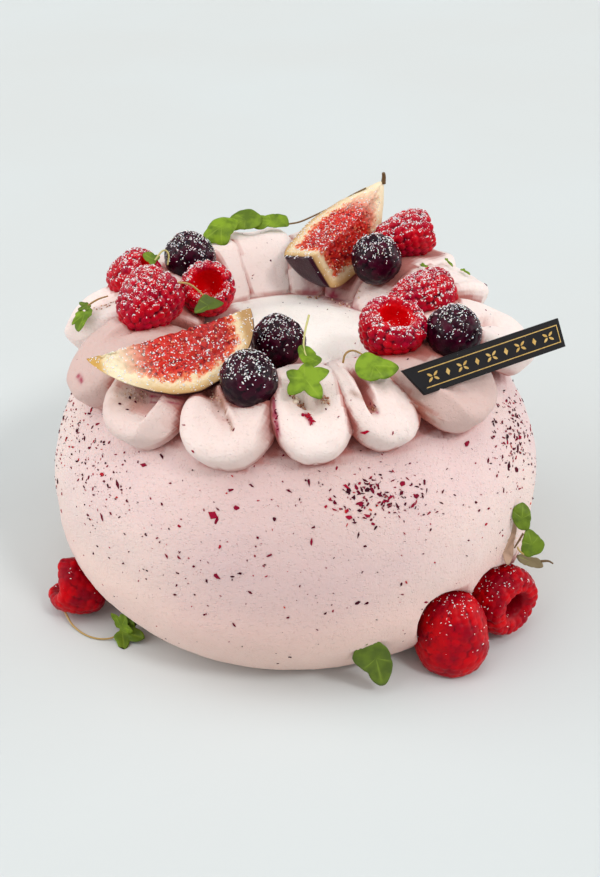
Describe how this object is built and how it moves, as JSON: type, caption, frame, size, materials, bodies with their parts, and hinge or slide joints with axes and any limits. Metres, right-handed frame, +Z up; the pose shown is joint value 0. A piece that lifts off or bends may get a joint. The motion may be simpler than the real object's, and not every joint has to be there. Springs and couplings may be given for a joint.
{
  "type": "fig cake",
  "caption": "Round-shouldered uncut cake coated in pale pink cream, ringed on top with piped cream petals and dressed with fig wedges, raspberries, dark berries, leaves and a thin dark plaque.",
  "frame": {"origin": "centre of the cake's flat underside, on the table", "axes": "+Z up, -Y towards the front of the cake, +X to the right as seen from the front"},
  "size_m": [0.1669, 0.164, 0.12],
  "materials": {
    "cream_coat": "smooth spread cream, pale pink, faintly porous, soft matt, with dark red fruit flakes",
    "piped_cream": "piped whipped cream, off-white with a pink tint, soft matt",
    "raspberry": "moist bright red drupelets, dusted with sugar on top",
    "dark_berry": "moist purple-black skin, dusted with sugar on top",
    "fig": "moist cut flesh, red and seeded, with a pale rim and a thin dark skin",
    "plaque_card": "charcoal card with a thin gold border"
  },
  "bodies": {
    "root": {"cake_dome": "cream_coat", "cream_petal_01": "piped_cream", "cream_petal_02": "piped_cream", "cream_petal_03": "piped_cream", "cream_petal_04": "piped_cream", "cream_petal_05": "piped_cream", "cream_petal_06": "piped_cream", "cream_petal_07": "piped_cream", "cream_petal_08": "piped_cream", "cream_petal_09": "piped_cream", "cream_petal_10": "piped_cream", "cream_petal_11": "piped_cream", "cream_petal_12": "piped_cream", "cream_petal_13": "piped_cream", "cream_petal_14": "piped_cream", "cream_petal_15": "piped_cream", "raspberry_left_back": "raspberry", "raspberry_left_front": "raspberry", "raspberry_left_inner": "raspberry", "raspberry_right_back": "raspberry", "raspberry_right_middle": "raspberry", "raspberry_right_front": "raspberry", "raspberry_foot_left": "raspberry", "raspberry_foot_right_front": "raspberry", "raspberry_foot_right_back": "raspberry", "dark_berry_left_back": "dark_berry", "dark_berry_middle": "dark_berry", "dark_berry_front": "dark_berry", "dark_berry_right_back": "dark_berry", "dark_berry_right_front": "dark_berry", "fig_wedge_left": "fig", "fig_wedge_back": "fig", "plaque": "plaque_card"}
  },
  "joints": []
}
